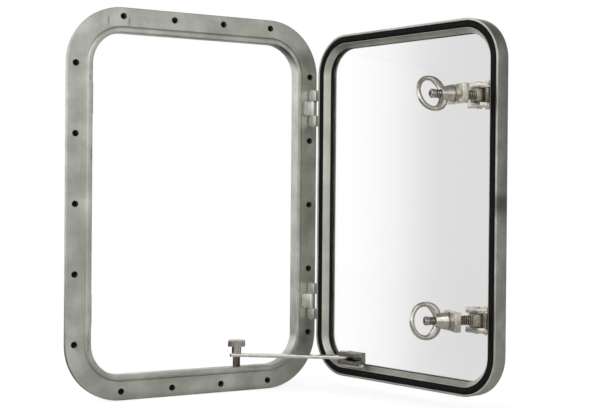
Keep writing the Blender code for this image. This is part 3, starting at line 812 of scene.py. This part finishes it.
# Radius and length of the nut's cone in millimetres, from its bore out round its base and back
CONE_PROFILE = (
    (8.3, 53.8), (15.2, 53.8), (16, 54.6), (16, 56.2), (15.4, 57.2), (11.6, 74.1),
    (11.0, 75.4), (10.2, 75.8), (8.3, 75.8), (8.3, 53.8),
)


def threaded_rod(stops, pitch, depth, steps=28):
    """A rod along +Y through (length, radius, threaded) stops, with a thread cut in its threaded runs."""
    shape = bmesh.new()
    crest = shape.verts.layers.float.new("crest")
    rings = []
    for (start, first, threaded), (end, last, _) in zip(stops, stops[1:]):
        count = max(1, round((end - start) / (pitch / 6))) if threaded else 1
        for k in range(count):
            share = k / count
            length = start + (end - start) * share
            ring = []
            for i in range(steps):
                turn = i / steps
                rise = abs(2 * ((length / pitch - turn) % 1.0) - 1) if threaded else 1.0
                radius = first + (last - first) * share - depth * (1 - rise)
                angle = turn * 2 * math.pi
                point = shape.verts.new((radius * math.cos(angle), length, radius * math.sin(angle)))
                # crest is the point's height on the thread, from which the thread's finish paints its
                # highlight and shade; plain runs take a middle value.
                point[crest] = rise if threaded else 0.75
                ring.append(point)
            rings.append(ring)
    for first, second in zip(rings, rings[1:]):
        bridge(shape, first, second)
    shape.faces.new(rings[0])
    shape.faces.new(rings[-1])
    return shape


def ring_shape():
    """The forged oval ring, its two arms flattening and widening into the nut."""
    steps, sides = 64, 16
    shape = bmesh.new()
    rings = []
    for i in range(steps):
        angle = 2 * math.pi * i / steps
        # 0 is the ring's far side, 1 is where it runs into the nut
        toward = (1 - math.cos(angle)) / 2
        grow = max(0.0, min(1.0, (toward - 0.5) / 0.4))
        grow = grow * grow * (3 - 2 * grow)
        wide = RING_WIRE * (1 + 0.8 * grow)
        thick = RING_WIRE * (1 - 0.12 * grow)
        middle = Vector((0, RING_CENTRE + RING_ALONG * math.cos(angle), RING_ACROSS * math.sin(angle)))
        out = Vector((0, RING_ACROSS * math.cos(angle), RING_ALONG * math.sin(angle))).normalized()
        ring = []
        for k in range(sides):
            turn = 2 * math.pi * k / sides
            offset = out * wide * math.cos(turn) + Vector((1, 0, 0)) * thick * math.sin(turn)
            ring.append(shape.verts.new(middle + offset))
        rings.append(ring)
    for i in range(steps):
        bridge(shape, rings[i], rings[(i + 1) % steps])
    return shape


def make_bolt(level, matrix):
    """The swing bolt: its eye, its thread and the dog bar that it carries."""
    body = f"bolt_{level}"
    eye = block([-EYE_HALF] * 3, [EYE_HALF] * 3, 2 * MM)
    finish_piece(f"bolt_eye_{level}", eye, ROUGH_STEEL, body, matrix=matrix)
    stops = [(length * MM, radius * MM, threaded) for length, radius, threaded in BOLT_STOPS]
    finish_piece(
        f"bolt_thread_{level}",
        threaded_rod(stops, THREAD_PITCH, THREAD_DEPTH),
        THREAD_STEEL,
        body,
        (f"swing_bolt_{level}",),
        matrix,
    )
    low = (DOG_REACH[0], DOG_SPAN[0], -DOG_HALF_HEIGHT)
    high = (DOG_REACH[1], DOG_SPAN[1], DOG_HALF_HEIGHT)
    finish_piece(
        f"clamp_dog_{level}",
        block(low, high, 1 * MM),
        GROUND_STEEL,
        body,
        (f"pressure_block_{level}",),
        matrix,
    )


def weld_ears(level, z):
    """The welds that hold the ears to the sash, along each ear's side and across its heel."""
    heel_x = -SASH_HALF[0] + HEEL_INSET
    for side, word in ((-1, "bottom"), (1, "top")):
        outer = z + side * EAR_OUTER
        weld(
            f"ear_weld_{level}_{word}",
            (heel_x, LIP_Y - 0.6 * MM, outer),
            (heel_x + 9 * MM, LIP_Y - 6 * MM, outer),
            2.8 * MM,
            "sash",
            SASH_REST,
        )
        weld(
            f"heel_weld_{level}_{word}",
            (heel_x, LIP_Y, z + side * (EAR_INNER + 0.5 * MM)),
            (heel_x, LIP_Y, outer),
            2.2 * MM,
            "sash",
            SASH_REST,
        )


def make_clamp(index):
    level, z = LEVELS[index], CLAMP_ZS[index]
    origin = Matrix.Translation((*CLAMP, z))
    for side in ("top", "bottom"):
        dress(f"clamp_ear_{level}_{side}", GROUND_STEEL, "sash", 0.8 * MM)
    dress(f"clamp_pin_{level}", BAR_STEEL, "sash", 0.3 * MM)
    make_bolt(level, bolt_rest(index) @ origin)
    web_half = EAR_INNER - SEAT_GAP
    finish_piece(
        f"ear_web_{level}",
        block((WEB_X[0], WEB_Y[0], -web_half), (WEB_X[1], WEB_Y[1], web_half), 0.6 * MM),
        ROUGH_STEEL,
        "sash",
        matrix=SASH_REST @ origin,
    )
    cone = lathe(CONE_PROFILE)
    bmesh.ops.remove_doubles(cone, verts=cone.verts, dist=0.001 * MM)
    finish_piece(
        f"nut_ring_{level}",
        join_shape(cone, ring_shape()),
        CAST_STEEL,
        f"nut_{level}",
        (f"ring_nut_{level}",),
        nut_rest(index) @ origin,
    )
    weld_ears(level, z)


# Stay


def make_stay():
    dress("stay_bar", BAR_STEEL, "stay", 0.7 * MM)
    dress("stay_pin", BAR_STEEL, "sash", 0.3 * MM)
    dress("stay_post", DARK_STEEL, "frame", 0.3 * MM)
    dress("stay_knob", CAST_STEEL, "knob", 2.2 * MM, 3)
    outline = eased(
        [
            (CLEVIS_BACK, -JAW_OUTER),
            (CLEVIS_NOSE, -JAW_OUTER),
            (CLEVIS_NOSE, -JAW_INNER),
            (CLEVIS_WEB, -JAW_INNER),
            (CLEVIS_WEB, JAW_INNER),
            (CLEVIS_NOSE, JAW_INNER),
            (CLEVIS_NOSE, JAW_OUTER),
            (CLEVIS_BACK, JAW_OUTER),
        ],
        [r * MM for r in (1, 1.4, 0.5, 0.5, 0.5, 0.5, 1.4, 1)],
    )
    jaws = bmesh.new()
    ends = []
    for x in CLEVIS_ENDS:
        ends.append([jaws.verts.new(STAY + Vector((x, p.x, p.y))) for p in outline])
        jaws.faces.new(ends[-1])
    bridge(jaws, *ends)
    # The clevis jaws take the stainless with painted shade.
    finish_piece(
        "clevis_jaws", jaws, SHADED_STEEL, "sash", ("stay_clevis",), SASH_REST
    )
    base = STAY.z - JAW_OUTER - 0.5 * MM
    front_y, end_x = LIP_Y - 4 * MM, STAY.x - 39.5 * MM
    weld(
        "clevis_weld_front",
        (STAY.x - 34 * MM, front_y, base - 4 * MM),
        (STAY.x + 5 * MM, front_y, base - 4 * MM),
        2.6 * MM,
        "sash",
        SASH_REST,
    )
    weld(
        "clevis_weld_end",
        (end_x, LIP_Y + 1 * MM, base - 2 * MM),
        (end_x, LIP_Y - 8 * MM, base - 1 * MM),
        3.4 * MM,
        "sash",
        SASH_REST,
    )


# Stage


def make_stage():
    """A white floor for the camera; the metal mirrors it pale in front of the part and dark just behind."""
    floor_mesh = bpy.data.meshes.new("floor")
    reach = 12.0
    level = CAD_BOX[0].z - 0.5 * MM
    corners = [(-reach, -reach, level), (reach, -reach, level), (reach, reach, level), (-reach, reach, level)]
    floor_mesh.from_pydata(corners, [], [(0, 1, 2, 3)])
    floor = bpy.data.objects.new("floor", floor_mesh)
    bpy.context.scene.collection.objects.link(floor)
    made, tree, shader = new_material("white_studio_floor")
    place = add(tree, "ShaderNodeTexCoord").outputs["Object"]
    back = add(tree, "ShaderNodeSeparateXYZ", links={"Vector": place}).outputs["Y"]
    past_part = add(
        tree,
        "ShaderNodeMapRange",
        span(-60 * MM, 60 * MM, 0.0, 1.0),
        {"Value": back},
        interpolation_type="SMOOTHSTEP",
    )
    mirrored = add(
        tree,
        "ShaderNodeValToRGB",
        links={"Fac": past_part.outputs["Result"]},
        stops=((0.0, "#E6E6E4"), (1.0, "#3C3C3A")),
    )
    seen = add(tree, "ShaderNodeLightPath").outputs["Is Camera Ray"]
    colour = add(
        tree,
        "ShaderNodeMix",
        {7: linear("#F4F4F4")},
        {0: seen, 6: mirrored.outputs[0]},
        data_type="RGBA",
    )
    tree.links.new(colour.outputs[2], shader.inputs["Base Color"])
    shader.inputs["Roughness"].default_value = 0.9
    shader.inputs["Specular IOR Level"].default_value = 0.0
    # Light that reaches the floor, plus this lift, comes to white in the camera
    lift = add(tree, "ShaderNodeMath", {1: 0.62}, {0: seen}, operation="MULTIPLY")
    shader.inputs["Emission Color"].default_value = linear("#FFFFFF")
    tree.links.new(lift.outputs[0], shader.inputs["Emission Strength"])
    white = add(tree, "ShaderNodeEmission", {"Color": linear("#FFFFFF"), "Strength": 1.0})
    behind = add(
        tree,
        "ShaderNodeMapRange",
        span(1.0, 2.5, 0.0, 1.0),
        {"Value": back},
        interpolation_type="SMOOTHSTEP",
    )
    share = background_rays(tree, behind.outputs["Result"], 0.0)
    mixed = add(
        tree, "ShaderNodeMixShader", links={0: share, 1: shader.outputs[0], 2: white.outputs[0]}
    )
    tree.links.new(mixed.outputs[0], tree.nodes["Material Output"].inputs["Surface"])
    floor_mesh.materials.append(made)


# Strength of the studio's light by direction: (direction, strength) along X and along Z
SIDEWAYS_LIGHT = (
    (-1, 1.25), (-0.5, 1.2), (-0.2, 0.85), (0.1, 0.75), (0.33, 1.0),
    (0.5, 0.58), (0.6, 0.42), (0.86, 0.17), (1, 0.13),
)
UPWARD_LIGHT = ((-1, 0.08), (-0.6, 0.12), (-0.25, 0.8), (0, 1.0), (0.3, 1.0), (0.62, 0.45), (1, 0.35))


def make_world():
    """A soft studio: bright from the left, falling off to the right, overhead and below, white behind."""
    world = bpy.data.worlds.new("studio")
    bpy.context.scene.world = world
    world.use_nodes = True
    tree = world.node_tree
    studio = tree.nodes["Background"]
    direction = add(tree, "ShaderNodeTexCoord").outputs["Generated"]
    split = add(tree, "ShaderNodeSeparateXYZ", links={"Vector": direction})
    strengths = []
    for axis, stops in (("X", SIDEWAYS_LIGHT), ("Z", UPWARD_LIGHT)):
        share = add(
            tree, "ShaderNodeMath", {1: 0.5, 2: 0.5}, {0: split.outputs[axis]}, operation="MULTIPLY_ADD"
        )
        fall = add(tree, "ShaderNodeFloatCurve", links={"Value": share.outputs[0]})
        fall.mapping.use_clip = False
        points = fall.mapping.curves[0].points
        places = [((value + 1) / 2, strength) for value, strength in stops]
        points[0].location, points[1].location = places[0], places[-1]
        for place in places[1:-1]:
            points.new(*place)
        fall.mapping.update()
        strengths.append(fall.outputs[0])
    strength = add(
        tree, "ShaderNodeMath", links={0: strengths[0], 1: strengths[1]}, operation="MULTIPLY"
    )
    tree.links.new(strength.outputs[0], studio.inputs["Strength"])
    studio.inputs["Color"].default_value = linear("#FFFFFF")
    white = add(tree, "ShaderNodeBackground", {"Color": linear("#FFFFFF"), "Strength": 1.0})
    low = add(
        tree,
        "ShaderNodeMapRange",
        span(0.35, 0.6, 1.0, 0.0),
        {"Value": split.outputs["Z"]},
        interpolation_type="SMOOTHSTEP",
    )
    back = add(
        tree,
        "ShaderNodeMapRange",
        span(0.3, 0.8, 0.0, 1.0),
        {"Value": split.outputs["Y"]},
        interpolation_type="SMOOTHSTEP",
    )
    behind = add(
        tree,
        "ShaderNodeMath",
        links={0: back.outputs["Result"], 1: low.outputs["Result"]},
        operation="MULTIPLY",
    )
    share = background_rays(tree, behind.outputs[0])
    mixed = add(
        tree, "ShaderNodeMixShader", links={0: share, 1: studio.outputs[0], 2: white.outputs[0]}
    )
    tree.links.new(mixed.outputs[0], tree.nodes["World Output"].inputs["Surface"])


def make_light():
    lamp = bpy.data.lights.new("key_softbox", "AREA")
    lamp.shape = "SQUARE"
    lamp.size = 1.1
    lamp.energy = 5
    lit = bpy.data.objects.new("key_softbox", lamp)
    bpy.context.scene.collection.objects.link(lit)
    target = Vector((0.1, -0.1, 0.35))
    lit.location = target + Vector((-1.3, -1.7, 1.5))
    lit.rotation_euler = (target - lit.location).to_track_quat("-Z", "Y").to_euler()


def make_camera():
    """The photograph's camera, solved from the flange's holes."""
    lens = bpy.data.cameras.new("camera")
    lens.lens = 72
    lens.sensor_width = 36
    camera = bpy.data.objects.new("camera", lens)
    bpy.context.scene.collection.objects.link(camera)
    right = Vector((0.86895605, -0.49481775, 0.00841289))
    up = Vector((-0.00332166, 0.01116764, 0.99993212))
    ahead = Vector((0.49487811, 0.86892501, -0.00806057))
    turn = Matrix((right, up, -ahead)).transposed().to_4x4()
    camera.matrix_world = Matrix.Translation((-0.9433, -2.0505, 0.3593)) @ turn
    bpy.context.scene.camera = camera


make_frame()
make_hinges()
make_sash()
for clamp_index in range(len(LEVELS)):
    make_clamp(clamp_index)
make_stay()
make_stage()
make_world()
make_light()
make_camera()
bpy.context.scene.view_settings.view_transform = "Standard"
